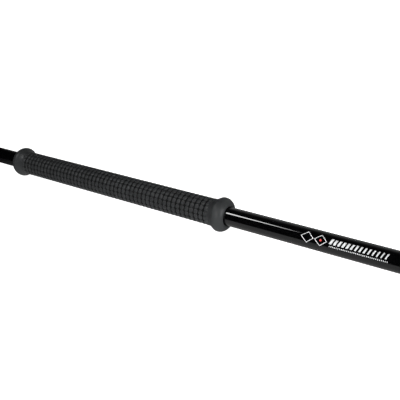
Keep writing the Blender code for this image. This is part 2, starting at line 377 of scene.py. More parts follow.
def add_grain(tree, place, scale, low=0.0, high=1.0):
    return use_group(tree, "Fine grain", Vector=place, Scale=scale, Low=low, High=high)


def gloss_lacquer(colour):
    """Black lacquer over metal, polished, with orange peel, dust and handling marks."""
    material, tree, shader = new_material("gloss_black_lacquer", 0.1)
    place = object_coordinates(tree)
    cloud = add_grain(tree, place, 90.0)
    dust = use_group(tree, "Settled dust", Vector=place, Scale=70.0, Amount=0.012)
    marks = use_group(tree, "Hair scratches", Vector=place, Scale=110.0, Amount=0.16)
    peel = add_grain(tree, place, 700.0, 0.03, 0.07)
    paint = add_mix(tree, cloud["Value"], rgba(colour, 0.8), rgba(colour, 1.2))
    rough = add_math(tree, "ADD", peel["Value"], add_math(tree, "MULTIPLY", dust["Mask"], 0.6))
    rough = add_math(tree, "ADD", rough, add_math(tree, "MULTIPLY", marks["Mask"], 0.5), clamp=True)
    skin = add_math(tree, "ADD", peel["Height"], add_math(tree, "MULTIPLY", marks["Mask"], -0.3))
    set_inputs(tree, shader, {
        "Base Color": add_mix(tree, dust["Mask"], paint, LACQUER_DUST),
        "Roughness": rough,
        "Coat Weight": add_range(tree, dust["Mask"], 0.0, 0.2, 1.0, 0.85),
        "Normal": add_bump(tree, skin, 0.012, 0.05 * MM),
        "Specular IOR Level": 0.02,
        "Coat Roughness": 0.02,
        "Coat IOR": 1.5,
    })
    return material


def moulded_rubber(name, colour, grain, wear, dusting, roughness, specular, groove_shade=(0.0, 0.001, 0.0)):
    """Matt rubber with a mould grain, paler on rubbed edges, dusty on top, with painted shade that turns
    its grooves nearly black.
    """
    material, tree, shader = new_material(name, 0.6)
    place = object_coordinates(tree)
    cloud = add_grain(tree, place, 45.0)
    skin = add_grain(tree, place, grain, *roughness)
    worn = use_group(tree, "Edge wear", Vector=place, Scale=400.0, Start=0.505, End=0.58)
    dust = use_group(tree, "Settled dust", Vector=place, Scale=90.0, Amount=dusting)
    deep = use_group(tree, "Groove depth", Vector=place, Low=groove_shade[0], High=groove_shade[1], Reach=groove_shade[2])
    base = add_mix(tree, cloud["Value"], rgba(colour, 0.86), rgba(colour, 1.12))
    rubbing = add_math(tree, "MULTIPLY", worn["Mask"], wear)
    rubbed = add_mix(tree, rubbing, base, rgba(colour, WORN_GAIN))
    dusty = add_mix(tree, dust["Mask"], rubbed, RUBBER_DUST)
    rough = add_math(tree, "ADD", skin["Value"], add_math(tree, "MULTIPLY", worn["Mask"], -0.12))
    groove_roughness = add_math(tree, "MULTIPLY", deep["Mask"], GROOVE_ROUGHNESS)
    set_inputs(tree, shader, {
        # painted shade: the base colour goes nearly black at the bottom of the grooves
        "Base Color": add_mix(tree, deep["Mask"], dusty, rgba(colour, GROOVE_SHADE_GAIN)),
        "Roughness": add_math(tree, "ADD", rough, groove_roughness, clamp=True),
        "Normal": add_bump(tree, skin["Height"], 0.35, 0.06 * MM),
        "Specular IOR Level": specular,
    })
    return material


def plated_steel(name, colour, roughness, grain):
    """Plated or bright steel with a cloudy sheen and fine marks."""
    material, tree, shader = new_material(name, roughness, metallic=1.0)
    place = object_coordinates(tree)
    cloud = add_grain(tree, place, 500.0)
    skin = add_grain(tree, place, grain, roughness * 0.75, roughness * 1.4)
    worn = use_group(tree, "Edge wear", Vector=place, Scale=900.0, Start=0.52, End=0.62)
    marks = use_group(tree, "Hair scratches", Vector=place, Scale=500.0, Amount=0.6)
    metal = add_mix(tree, cloud["Value"], rgba(colour, 0.85), rgba(colour, 1.05))
    scratched = add_math(tree, "MULTIPLY", marks["Mask"], 0.2)
    set_inputs(tree, shader, {
        "Base Color": add_mix(tree, worn["Mask"], metal, rgba(colour, 1.25)),
        "Roughness": add_math(tree, "ADD", skin["Value"], scratched, clamp=True),
        "Normal": add_bump(tree, skin["Height"], 0.2, 0.02 * MM),
    })
    return material


def turned_stock(name, colour, metallic, roughness, pitch):
    """Bar stock turned on a lathe: steel slugs and nylon plugs."""
    material, tree, shader = new_material(name, roughness, metallic)
    place = object_coordinates(tree)
    rings = use_group(tree, "Turned marks", Vector=place, Pitch=pitch)
    cloud = add_grain(tree, place, 250.0, roughness * 0.8, roughness * 1.3)
    worn = use_group(tree, "Edge wear", Vector=place, Scale=600.0, Start=0.52, End=0.62)
    shade = add_mix(tree, cloud["Height"], rgba(colour, 0.82), rgba(colour, 1.1))
    rubbing = add_math(tree, "MULTIPLY", worn["Mask"], 0.6)
    set_inputs(tree, shader, {
        "Base Color": add_mix(tree, rubbing, shade, rgba(colour, 1.3)),
        "Roughness": cloud["Value"],
        "Normal": add_bump(tree, rings["Height"], 0.3, 0.02 * MM),
    })
    return material


def closed_cell_foam():
    """Grey foam with small open pores on its cut faces."""
    material, tree, shader = new_material("grey_foam", 0.9)
    place = object_coordinates(tree)
    cells = add_node(tree, "ShaderNodeTexVoronoi", {"Vector": place, "Scale": 1400.0})
    pores = add_range(tree, cells.outputs["Distance"], 0.1, 0.6)
    set_inputs(tree, shader, {
        "Base Color": add_mix(tree, pores, FOAM_PORE, FOAM_WALL),
        "Roughness": add_grain(tree, place, 200.0, 0.82, 0.98)["Value"],
        "Normal": add_bump(tree, pores, 0.6, 0.3 * MM),
    })
    return material


def screen_ink(name, colour):
    """Screen-printed ink: semi-gloss, slightly mottled, with hair-fine scratches."""
    material, tree, shader = new_material(name, 0.4)
    place = object_coordinates(tree)
    mottle = add_grain(tree, place, 900.0, 0.3, 0.48)
    marks = use_group(tree, "Hair scratches", Vector=place, Scale=160.0, Amount=0.5)
    base = add_mix(tree, mottle["Height"], rgba(colour, 0.86), rgba(colour, 1.08))
    set_inputs(tree, shader, {
        "Base Color": add_mix(tree, marks["Mask"], base, rgba(colour, 0.5)),
        "Roughness": mottle["Value"],
        "Normal": add_bump(tree, mottle["Height"], 0.15, 0.01 * MM),
    })
    return material


# -------------------- shape helpers

def arc(centre_x, centre_r, radius, start, end, steps):
    """Points (x, r) on an arc; angles in degrees, 0 away from the axis and 90 along +X."""
    points = []
    for i in range(steps + 1):
        angle = math.radians(start + (end - start) * i / steps)
        points.append((centre_x + radius * math.sin(angle), centre_r + radius * math.cos(angle)))
    return points


def on_tube(x, radius, angle):
    """A point at an angle round the stick, from its -Y side towards +Z."""
    return Vector((x, -radius * math.cos(angle), radius * math.sin(angle)))


def turn(shape, outline, steps, phase=0.0, closed=True):
    """Spin an (x, r) outline all the way round the X axis."""
    corners = [shape.verts.new(on_tube(x, r, phase)) for x, r in outline]
    edges = [shape.edges.new(pair) for pair in zip(corners, corners[1:])]
    if closed:
        edges.append(shape.edges.new((corners[-1], corners[0])))
    bmesh.ops.spin(shape, geom=corners + edges, cent=(0, 0, 0), axis=(1, 0, 0), angle=2 * math.pi,
                   steps=steps, use_merge=True)


def close_up(shape):
    """Weld seams and poles, and turn all faces outwards."""
    bmesh.ops.remove_doubles(shape, verts=shape.verts, dist=MERGE_DISTANCE)
    bmesh.ops.dissolve_degenerate(shape, edges=shape.edges, dist=MERGE_DISTANCE / 2)
    bmesh.ops.recalc_face_normals(shape, faces=shape.faces)


def wrap(shape, radius_at, phase):
    """Roll a flat sheet (x along the stick, y round it, z outwards) onto the stick."""
    for vert in shape.verts:
        x, y, z = vert.co
        radius, girth_radius = radius_at(x, z)
        vert.co = on_tube(x, radius, phase + y / girth_radius)


def round_edges(shape, width):
    """Round every corner sharper than 35 degrees."""
    sharp = [e for e in shape.edges if e.is_manifold and e.calc_face_angle() > math.radians(35)]
    bmesh.ops.bevel(shape, geom=sharp, offset=width, offset_type="OFFSET", affect="EDGES",
                    segments=3, profile=0.5, material=-1, clamp_overlap=True)


def new_object(name, shape, material=None):
    """Turn a finished bmesh into an object in the scene."""
    mesh = bpy.data.meshes.new(name)
    shape.to_mesh(mesh)
    shape.free()
    if material:
        mesh.materials.append(material)
    made = bpy.data.objects.new(name, mesh)
    bpy.context.scene.collection.objects.link(made)
    return made


def new_piece(name, shape, material, stands_for=(), sharp_angle=40):
    """Make a piece from a finished bmesh; it rides on the stick and stands for its CAD nodes."""
    piece = new_object(name, shape, material)
    piece.data.shade_smooth()
    piece.data.set_sharp_from_angle(angle=math.radians(sharp_angle))
    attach(piece, BODY)
    if stands_for:
        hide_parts(*stands_for)
    return piece


def made_of(made, kind):
    """The new vertices or edges that a bmesh operator reports."""
    return [item for item in made["geom"] if isinstance(item, kind)]


def new_end_piece(name, side, shape, material, node, sharp_angle=40):
    """A piece of one end; the far end is the near end seen in a mirror at the middle of the stick."""
    if side == "far":
        bmesh.ops.scale(shape, vec=(-1, 1, 1), verts=shape.verts)
        bmesh.ops.reverse_faces(shape, faces=shape.faces)
    new_piece(name + "_" + side, shape, material, [node + "_" + side], sharp_angle)


# -------------------- lacquered tube

PIN_CLEARANCE = 0.2 * MM
UNDER_CAP = CAP_MOUTH + 2 * MM      # a ring of the tube's mesh, hidden by the cap


def tube_shape(settings):
    """The tube before its cross holes are cut."""
    bore = TUBE_RADIUS - settings.wall
    outer = [
        (TUBE_END, TUBE_RADIUS - settings.chamfer),
        (TUBE_END - settings.chamfer, TUBE_RADIUS),
        (UNDER_CAP, TUBE_RADIUS),
        (-UNDER_CAP, TUBE_RADIUS),
        (-TUBE_END + settings.chamfer, TUBE_RADIUS),
        (-TUBE_END, TUBE_RADIUS - settings.chamfer),
    ]
    inner = [(-TUBE_END, bore), (-UNDER_CAP, bore), (UNDER_CAP, bore), (TUBE_END, bore)]
    shape = bmesh.new()
    turn(shape, outer + inner, settings.steps)
    close_up(shape)
    return shape


def cross_hole(place):
    """A cylinder through the tube where a pin goes, to cut with."""
    shape = bmesh.new()
    radius = PIN_RADIUS + PIN_CLEARANCE
    bmesh.ops.create_cone(shape, cap_ends=True, segments=32, radius1=radius, radius2=radius,
                          depth=4 * TUBE_RADIUS,
                          matrix=Matrix.Translation((place, 0, 0))
                          @ Matrix.Rotation(math.pi / 2, 4, "X"))
    return new_object("pin_hole", shape)


def keep_modified(piece):
    """Make the result of the piece's modifiers its own mesh."""
    graph = bpy.context.evaluated_depsgraph_get()
    modified = bpy.data.meshes.new_from_object(piece.evaluated_get(graph))
    piece.modifiers.clear()
    piece.data = modified


def drill(piece, places):
    """Cut the cross holes and keep the result as the piece's own mesh."""
    cutters = [cross_hole(place) for place in places]
    for cutter in cutters:
        hole = piece.modifiers.new("Cross hole", "BOOLEAN")
        hole.operation = "DIFFERENCE"
        hole.solver = "EXACT"
        hole.object = cutter
    keep_modified(piece)
    for cutter in cutters:
        bpy.data.objects.remove(cutter, do_unlink=True)


class DEVILSTICK_OT_make_tube(bpy.types.Operator):
    """Build the lacquered tube with its pin holes"""
    bl_idname = "devilstick.make_tube"
    bl_label = "Make tube"

    def execute(self, context):
        settings = context.scene.devilstick_tube
        material = gloss_lacquer(settings.colour)
        tube = new_piece("lacquered_tube", tube_shape(settings), material, ["shaft_tube"])
        drill(tube, (-PIN_PLACE, PIN_PLACE))
        return {"FINISHED"}


# -------------------- rubber grip

FLARE_CREST = FLARE_RADIUS + 0.25 * MM  # the rubber stands a little proud of the frame's solid
FLARE_NOSE = 8.5 * MM               # outline radius from the crest out to the lip
FLARE_CROWN = 5.0 * MM              # outline radius from the crest in towards the hand
FLARE_HOLLOW = 15.0 * MM            # hollow radius between flare and blocks
LIP_ROUND = 0.8 * MM
BLOCK_WALL = (0.18 * MM, 0.10 * MM)  # slope of a block's sides seen from above, along and around
BLOCK_SHOULDER = (0.40 * MM, 0.8 * MM)  # rounded border of a block's top, along and around
CROSSING_RISE = 0.45                # how much of the depth is filled where grooves cross
CAGE_ROUND = 2                      # cage corners across each block
GROOVE_SHADE_BAND = (0.8 * MM, 0.1 * MM)   # depths at which the grooves' painted shade is full and where it fades out
BORE_SUPPORT = 3 * MM               # ring of the cage in the bore, from the grip's end face


def hollow_start(grip):
    """Where the plain collar ends and the hollow of the flare begins, and the hollow's centre radius."""
    crown_r = FLARE_CREST - FLARE_CROWN
    hollow_r = grip.radius + FLARE_HOLLOW
    reach = math.sqrt((FLARE_CROWN + FLARE_HOLLOW) ** 2 - (hollow_r - crown_r) ** 2)
    return grip.flare_place - reach, hollow_r


def grip_radius_at(grip, x):
    """The grip's outline under the blocks, up to the lower part of the flare."""
    start, hollow_r = hollow_start(grip)
    along = max(abs(x) - start, 0.0)
    return hollow_r - math.sqrt(FLARE_HOLLOW ** 2 - along ** 2)


def flare_outline(grip, field_end):
    """From the end of the blocks over the flare to the lip in the bore."""
    start, hollow_r = hollow_start(grip)
    crown_r = FLARE_CREST - FLARE_CROWN
    meeting = math.degrees(math.atan2(grip.flare_place - start, hollow_r - crown_r))
    begin = math.degrees(math.asin((field_end - start) / FLARE_HOLLOW))
    hollow = arc(start, hollow_r, FLARE_HOLLOW, 180 - begin, 180 - meeting, 4)
    crown = arc(grip.flare_place, crown_r, FLARE_CROWN, -meeting, 0, 5)
    nose_r = FLARE_CREST - FLARE_NOSE
    lip_r = grip.bore + LIP_ROUND
    lip_x = GRIP_END - LIP_ROUND
    lip_angle = math.degrees(math.atan2(lip_x - grip.flare_place, lip_r - nose_r))
    nose = arc(grip.flare_place, nose_r, FLARE_NOSE, 0, lip_angle, 9)
    lip = arc(lip_x, lip_r, LIP_ROUND, lip_angle, 180, 4)
    return hollow + crown[1:] + nose[1:] + lip[1:]


def level_grooves(shape, grip, length, girth):
    """Raise the floor of the grooves where they cross, and bring it flush at the ends of the field."""
    for vert in shape.verts:
        if vert.co.z > MERGE_DISTANCE:
            continue
        row = vert.co.y / girth * grip.rows + grip.rows / 2
        off_crossing = abs(row - round(row)) * girth / grip.rows
        to_end = length / 2 - abs(vert.co.x)
        if to_end < MERGE_DISTANCE:
            vert.co.z = grip.groove_depth
        elif off_crossing > grip.row_groove:
            vert.co.z = grip.groove_depth if to_end < grip.ring_groove else 0
        elif to_end > grip.ring_groove:
            vert.co.z = grip.groove_depth * CROSSING_RISE


def block_sheet(grip, cage_gain):
    """The field of blocks as a flat sheet, then rolled onto the grip."""
    shape = bmesh.new()
    bmesh.ops.create_grid(shape, x_segments=grip.rings, y_segments=grip.rows, size=0.5)
    blocks = shape.faces[:]
    length = grip.rings * grip.ring_pitch
    girth = 2 * math.pi * grip.radius
    bmesh.ops.scale(shape, vec=(length, girth, 1), verts=shape.verts)
    grooves = (grip.ring_groove / 2, grip.row_groove / 2)
    insets = ((grooves, 0), (BLOCK_WALL, grip.groove_depth), (BLOCK_SHOULDER, grip.crown))
    for (along, around), rise in insets:
        bmesh.ops.scale(shape, vec=(around / along, 1, 1), verts=shape.verts)
        bmesh.ops.inset_individual(shape, faces=blocks, thickness=around, depth=rise, use_even_offset=True)
        bmesh.ops.scale(shape, vec=(along / around, 1, 1), verts=shape.verts)
    across = [e for e in shape.edges if abs(e.verts[0].co.x - e.verts[1].co.x) < MERGE_DISTANCE]
    bmesh.ops.subdivide_edges(shape, edges=across, cuts=CAGE_ROUND - 1, use_grid_fill=True)
    level_grooves(shape, grip, length, girth)

    def radius_at(x, height):
        """The cage's radius at a place on the sheet, and the radius that gives the sheet its width."""
        return (grip_radius_at(grip, x) + height - grip.groove_depth) * cage_gain, grip.radius

    wrap(shape, radius_at, grip.row_phase)
    return shape, length / 2


def grip_shape(grip):
    """Blocks, both flares and the bore as the cage of one closed skin."""
    steps = grip.rows * CAGE_ROUND
    cage_gain = 3 / (2 + math.cos(2 * math.pi / steps))  # smoothing shrinks the cage by as much
    shape, field_end = block_sheet(grip, cage_gain)
    near = [(x, r * cage_gain) for x, r in flare_outline(grip, field_end)]
    near.append((GRIP_END - BORE_SUPPORT, grip.bore * cage_gain))
    far = [(-x, r) for x, r in reversed(near)]
    turn(shape, near + far, steps, grip.row_phase, closed=False)
    close_up(shape)
    return shape


class DEVILSTICK_OT_make_grip(bpy.types.Operator):
    """Build the rubber grip with its field of blocks and two flares"""
    bl_idname = "devilstick.make_grip"
    bl_label = "Make grip"

    def execute(self, context):
        settings = context.scene.devilstick_grip
        # painted shade in the grooves, along the field of blocks only
        groove_shade = (settings.radius - GROOVE_SHADE_BAND[0], settings.radius - GROOVE_SHADE_BAND[1],
                 settings.rings * settings.ring_pitch / 2)
        material = moulded_rubber("grip_rubber", settings.colour, grain=1600.0, wear=0.35, dusting=0.05,
                                  roughness=(0.38, 0.48), specular=0.25, groove_shade=groove_shade)
        grip = new_piece("block_grip", grip_shape(settings), material, ["grip_sleeve"],
                         sharp_angle=180)
        smooth = grip.modifiers.new("Rounded mould", "SUBSURF")
        smooth.levels = 1
        smooth.render_levels = 1
        keep_modified(grip)
        return {"FINISHED"}


# -------------------- print on the tube

BAND_START = 27.5 * MM              # from the print's start to the slanted bars
BAND_LENGTH = 53.5 * MM
BAND_DROP = 1.2 * MM                # bars' middle line, above the lozenges' middle line
BAR_HEIGHT = 4.9 * MM
BAR_SLANT = 0.35                    # shift along the stick for each unit of height
BAR_WIDTHS = (2.3 * MM, 1.2 * MM)   # first and last bar
DASH_SIZE = (0.7 * MM, 1.1 * MM)
DASH_DROP = 3.3 * MM                # dashes' middle line, below the lozenges' middle line
LOZENGE_STEP = 2.1                  # between the lozenges, in half lengths
SLICE = 0.6 * MM                    # longest straight step of the ink round the tube
FILM_SUNK = 0.25                    # share of the ink's thickness inside the lacquer


def ink_film(shape, film, turn_angle):
    """Give flat artwork its thickness and lay it on the tube."""
    raised = bmesh.ops.extrude_face_region(shape, geom=shape.faces[:])
    bmesh.ops.translate(shape, vec=(0, 0, film), verts=made_of(raised, bmesh.types.BMVert))
    highest = max(v.co.y for v in shape.verts)
    lowest = min(v.co.y for v in shape.verts)
    for i in range(1, math.ceil((highest - lowest) / SLICE)):
        bmesh.ops.bisect_plane(shape, geom=shape.verts[:] + shape.edges[:] + shape.faces[:],
                               dist=MERGE_DISTANCE, plane_no=(0, 1, 0),
                               plane_co=(0, lowest + i * SLICE, 0))
    sunk = film * FILM_SUNK
    wrap(shape, lambda x, height: (TUBE_RADIUS + height - sunk, TUBE_RADIUS), turn_angle)
    bmesh.ops.recalc_face_normals(shape, faces=shape.faces)


def flat_box(shape, x, y, width, height, slant=0.0):
    """A flat four-cornered patch of artwork."""
    place = Matrix.Translation((x, y, 0))
    size = Matrix.Diagonal((width / 2, height / 2, 1, 1))
    shear = Matrix.Identity(4)
    shear[0][1] = slant
    bmesh.ops.create_grid(shape, x_segments=1, y_segments=1, size=1.0, matrix=place @ shear @ size)


def lozenge_art(settings):
    """Two outlined lozenges, side by side."""
    shape = bmesh.new()
    half = settings.lozenge_length / 2
    for i in range(2):
        made = bmesh.ops.create_circle(
            shape, cap_ends=True, segments=4, radius=1.0,
            matrix=Matrix.Translation((settings.start + half * (1 + LOZENGE_STEP * i), 0, 0))
            @ Matrix.Diagonal((half, settings.lozenge_height / 2, 1, 1)))
        face = made["verts"][0].link_faces[0]
        bmesh.ops.inset_region(shape, faces=[face], thickness=settings.stroke, use_boundary=True,
                               use_even_offset=True)
        bmesh.ops.delete(shape, geom=[face], context="FACES")
    return shape


def band_art(settings):
    """An even band of slanted bars that grow thinner along the stick."""
    shape = bmesh.new()
    pitch = BAND_LENGTH / settings.bars
    for i in range(settings.bars):
        share = i / max(settings.bars - 1, 1)
        width = BAR_WIDTHS[0] + (BAR_WIDTHS[1] - BAR_WIDTHS[0]) * share
        x = settings.start + BAND_START + (i + 0.5) * pitch
        flat_box(shape, x, BAND_DROP, width, BAR_HEIGHT, BAR_SLANT)
    return shape


def dash_art(settings):
    """A fine line of short dashes under the band."""
    shape = bmesh.new()
    pitch = BAND_LENGTH / settings.dashes
    for i in range(settings.dashes):
        x = settings.start + BAND_START + (i + 0.5) * pitch
        flat_box(shape, x, -DASH_DROP, DASH_SIZE[0], DASH_SIZE[1])
    return shape


def dot_art(settings):
    """A dot in the middle of the second lozenge."""
    shape = bmesh.new()
    middle = settings.start + settings.lozenge_length / 2 * (1 + LOZENGE_STEP)
    bmesh.ops.create_circle(shape, cap_ends=True, segments=40, radius=settings.dot,
                            matrix=Matrix.Translation((middle, 0, 0)))
    return shape


class DEVILSTICK_OT_make_print(bpy.types.Operator):
    """Build the ink of the plain decoration on the tube"""
    bl_idname = "devilstick.make_print"
    bl_label = "Make print"

    def execute(self, context):
        settings = context.scene.devilstick_print
        white = screen_ink("white_ink", settings.white)
        red = screen_ink("red_ink", settings.red)
        for name, art, ink in (("print_lozenges", lozenge_art, white), ("print_band", band_art, white),
                               ("print_dashes", dash_art, white), ("print_dot", dot_art, red)):
            shape = art(settings)
            ink_film(shape, settings.film, settings.turn)
            new_piece(name, shape, ink)
        return {"FINISHED"}


# -------------------- rubber end caps

CAP_ROUND = 2.5 * MM
CAP_RECESS_RADIUS = 5.6 * MM
CAP_RECESS_DEPTH = 3.8 * MM
CAP_HOLE_RADIUS = 2.3 * MM
CAP_MOUTH_WALL = 1.6 * MM
CAP_MOUTH_ROUND = 0.8 * MM
GROOVE_DEPTH = 0.7 * MM
GROOVE_WIDTH = 1.6 * MM
GROOVE_ROUND = GROOVE_WIDTH / 4
GROOVE_PITCH = 5.0 * MM
GROOVE_COUNT = 3
PLUG_GAP = 3.1 * MM                 # from the tube's end face to the cap's inner floor
BORE_GAP = 0.3 * MM


def cap_shape(settings):
    """Near cap: a cup with grip grooves, a rounded shoulder and a recess for the screw."""
    inner = TUBE_RADIUS + BORE_GAP
    recess_floor = CAP_FACE - CAP_RECESS_DEPTH
    top = [(recess_floor, CAP_HOLE_RADIUS), (recess_floor, CAP_RECESS_RADIUS),
           (CAP_FACE - 0.5 * MM, CAP_RECESS_RADIUS), (CAP_FACE, CAP_RECESS_RADIUS + 0.5 * MM)]
    shoulder = arc(CAP_FACE - CAP_ROUND, CAP_RADIUS - CAP_ROUND, CAP_ROUND, 90, 0, 10)
    outline = top + shoulder
    for i in range(GROOVE_COUNT):
        middle = TUBE_END - i * GROOVE_PITCH
        outline.append((middle + GROOVE_WIDTH / 2, CAP_RADIUS))
        outline += arc(middle, CAP_RADIUS - GROOVE_DEPTH + GROOVE_ROUND, GROOVE_ROUND, 90, 270, 8)
        outline.append((middle - GROOVE_WIDTH / 2, CAP_RADIUS))
    mouth = inner + CAP_MOUTH_WALL
    outline.append((TUBE_END - GROOVE_COUNT * GROOVE_PITCH, CAP_RADIUS))
    outline += arc(CAP_MOUTH + CAP_MOUTH_ROUND, mouth - CAP_MOUTH_ROUND, CAP_MOUTH_ROUND, 0, -90, 5)
    outline += [(CAP_MOUTH, inner), (TUBE_END + PLUG_GAP, inner), (TUBE_END + PLUG_GAP, CAP_HOLE_RADIUS)]
    shape = bmesh.new()
    turn(shape, outline, settings.steps)
    close_up(shape)
    round_edges(shape, settings.edge)
    return shape


class DEVILSTICK_OT_make_caps(bpy.types.Operator):
    """Build the rubber cap on each end"""
    bl_idname = "devilstick.make_caps"
    bl_label = "Make end caps"

    def execute(self, context):
        settings = context.scene.devilstick_ends
        material = moulded_rubber("cap_rubber", settings.colour, grain=1300.0, wear=0.6, dusting=0.12,
                                  roughness=(0.5, 0.68), specular=0.35)
        for side in SIDES:
            new_end_piece("rubber_cap", side, cap_shape(settings), material, "end_cap")
        return {"FINISHED"}


# -------------------- washers and screws

WASHER_HOLE_RADIUS = 2.1 * MM
WASHER_EDGE = 0.18 * MM
HEAD_HEIGHT = 2.0 * MM
HEAD_RIM = 0.5 * MM
SHANK_RADIUS = 1.7 * MM
THREAD_ROOT = 1.35 * MM
THREAD_PITCH = 1.2 * MM
SOCKET_DEPTH = 1.1 * MM
SOCKET_LEAD = 0.25 * MM             # chamfer at the mouth of the socket
SOCKET_CONE = 0.3 * MM              # drilled cone in the socket's floor


def washer_shape(settings):
    shape = bmesh.new()
    outline = [(WASHER_FACE, WASHER_HOLE_RADIUS), (WASHER_FACE, WASHER_RADIUS),
               (WASHER_BACK, WASHER_RADIUS), (WASHER_BACK, WASHER_HOLE_RADIUS)]
    turn(shape, outline, settings.steps)
    close_up(shape)
    round_edges(shape, WASHER_EDGE)
    return shape


def head_outline(socket_mouth):
    """Button head from the socket's mouth over the dome to the shank."""
    rise = HEAD_HEIGHT - HEAD_RIM
    dome = (SCREW_HEAD_RADIUS ** 2 + rise ** 2) / (2 * rise)
    centre = SCREW_TOP - dome
    first = math.degrees(math.asin(socket_mouth / dome))
    last = math.degrees(math.asin(SCREW_HEAD_RADIUS / dome))
    bottom = SCREW_TOP - HEAD_HEIGHT
    crown = arc(centre, 0.0, dome, 90 - first, 90 - last, 8)
    underside = [(bottom + 0.15 * MM, SCREW_HEAD_RADIUS), (bottom, SCREW_HEAD_RADIUS - 0.15 * MM),
                 (bottom, SHANK_RADIUS + 0.2 * MM), (bottom - 0.2 * MM, SHANK_RADIUS)]
    return crown + underside


def thread_outline():
    """The thread as rings of ridges, down to a blunt tip."""
    points = []
    count = int((TUBE_END - SCREW_TIP - 2 * MM) / THREAD_PITCH)
    for i in range(count):
        x = TUBE_END - i * THREAD_PITCH
        points += [(x, THREAD_ROOT), (x - 0.4 * THREAD_PITCH, SHANK_RADIUS),
                   (x - 0.5 * THREAD_PITCH, SHANK_RADIUS), (x - 0.9 * THREAD_PITCH, THREAD_ROOT)]
    points += [(SCREW_TIP + 0.6 * MM, THREAD_ROOT), (SCREW_TIP, 0.3 * MM), (SCREW_TIP, 0.0)]
    return points


def cut_socket(shape, steps, mouth, across_corners):
    """A hexagon socket joined to the round mouth left open in the head."""
    rim = [e for e in shape.edges if e.is_boundary and (e.verts[0].co.yz.length > mouth / 2)]
    level = rim[0].verts[0].co.x
    tilt = Matrix.Translation((level - SOCKET_LEAD, 0, 0)) @ Matrix.Rotation(math.pi / 2, 4, "Y")
    hexagon = bmesh.ops.create_circle(shape, cap_ends=False, segments=6, matrix=tilt,
                                      radius=across_corners / 2)
    ring = list({edge for vert in hexagon["verts"] for edge in vert.link_edges})
    split = bmesh.ops.subdivide_edges(shape, edges=ring, cuts=steps // 6 - 1)
    ring = made_of(split, bmesh.types.BMEdge)
    bmesh.ops.bridge_loops(shape, edges=rim + ring)
    walls = bmesh.ops.extrude_edge_only(shape, edges=ring)
    bmesh.ops.translate(shape, vec=(-SOCKET_DEPTH, 0, 0), verts=made_of(walls, bmesh.types.BMVert))
    cone = bmesh.ops.extrude_edge_only(shape, edges=made_of(walls, bmesh.types.BMEdge))
    drill_tip = level - SOCKET_LEAD - SOCKET_DEPTH - SOCKET_CONE
    bmesh.ops.pointmerge(shape, verts=made_of(cone, bmesh.types.BMVert), merge_co=(drill_tip, 0, 0))


def screw_shape(settings):
    mouth = settings.socket / 2 + SOCKET_LEAD
    shape = bmesh.new()
    turn(shape, head_outline(mouth) + thread_outline(), settings.steps, closed=False)
    bmesh.ops.remove_doubles(shape, verts=shape.verts, dist=MERGE_DISTANCE)
    cut_socket(shape, settings.steps, mouth, settings.socket)
    close_up(shape)
    return shape


class DEVILSTICK_OT_make_fasteners(bpy.types.Operator):
    """Build the washer and button-head screw of each end"""
    bl_idname = "devilstick.make_fasteners"
    bl_label = "Make washers and screws"

    def execute(self, context):
        settings = context.scene.devilstick_ends
        bright = plated_steel("bright_steel", (0.66, 0.66, 0.65), roughness=0.24, grain=1500.0)
        zinc = plated_steel("zinc_plated_steel", (0.60, 0.615, 0.63), roughness=0.3, grain=2500.0)
        for side in SIDES:
            new_end_piece("washer", side, washer_shape(settings), bright, "cap_washer")
            new_end_piece("button_screw", side, screw_shape(settings), zinc, "cap_screw",
                          sharp_angle=28)
        return {"FINISHED"}


# -------------------- pieces inside the tube

class DEVILSTICK_OT_finish_core(bpy.types.Operator):
    """Give the plugs, pins, weights and foam bungs inside the tube their materials"""
    bl_idname = "devilstick.finish_core"
    bl_label = "Finish inner pieces"

    def execute(self, context):
        finishes = {
            "end_plug": turned_stock("turned_nylon", (0.72, 0.70, 0.64), metallic=0.0, roughness=0.45,
                                     pitch=0.25 * MM),
            "plug_pin": plated_steel("spring_steel", (0.30, 0.30, 0.31), roughness=0.35, grain=2000.0),
            "balance_weight": turned_stock("turned_steel", (0.50, 0.50, 0.51), metallic=1.0,
                                           roughness=0.35, pitch=0.15 * MM),
            "foam_bung": closed_cell_foam(),
        }
        for kind, material in finishes.items():
            for side in SIDES:
                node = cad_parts[kind + "_" + side]
                for slot in node.material_slots:
                    slot.material = material
        return {"FINISHED"}


# -------------------- floor, light and camera

STUDIO_RAMP = (
    # angle round the stick from the viewer's side, in degrees, and brightness seen in the gloss
    (-180, 0.20), (-154, 0.15), (-130, 0.28), (-90, 0.48), (-24, 0.60), (-17, 0.0), (100, 0.0),
    (116, 0.06), (133, 0.24), (150, 0.42), (166, 0.32),
)
GLOSS_LEFT = (-1.3, -0.75)          # slope along the stick where the gloss turns from black to full
AMBIENT = 0.28
ROOM_WHITE = 1.05
CARD_ANGLE = math.radians(57)
CARD_DISTANCE = 1.0
CARD_HEIGHT = 0.25
CARD_TIP = -0.197                   # the card is pointed at its right end
CARD_SHOULDER = -0.43
CARD_LEFT = -0.62
CARD_BRIGHTNESS = 16.0
FULL_BEAM = math.pi
NEAR_BEAM = math.radians(30)        # keeps the near softbox off the far flare
FLOOR_GAP = 0.02 * MM
SOFTBOXES = (
    # name, centre, x of the point on the axis aimed at, size, power in watts, beam, seen in the gloss
    ("front_softbox", on_tube(-0.85, 1.0, math.radians(28)), -0.85, (0.7, 0.2), 0.5, FULL_BEAM, True),
    ("near_softbox", on_tube(0.40, 1.0, math.radians(22)), 0.15, (0.16, 0.4), 0.16, NEAR_BEAM, True),
    ("right_softbox", on_tube(1.4, 0.35, math.radians(70)), 0.15, (0.4, 0.4), 9.0, FULL_BEAM, True),
    ("fill_softbox", (0.6, -1.6, 1.0), 0.0, (2.0, 1.2), 10.5, FULL_BEAM, False),
)


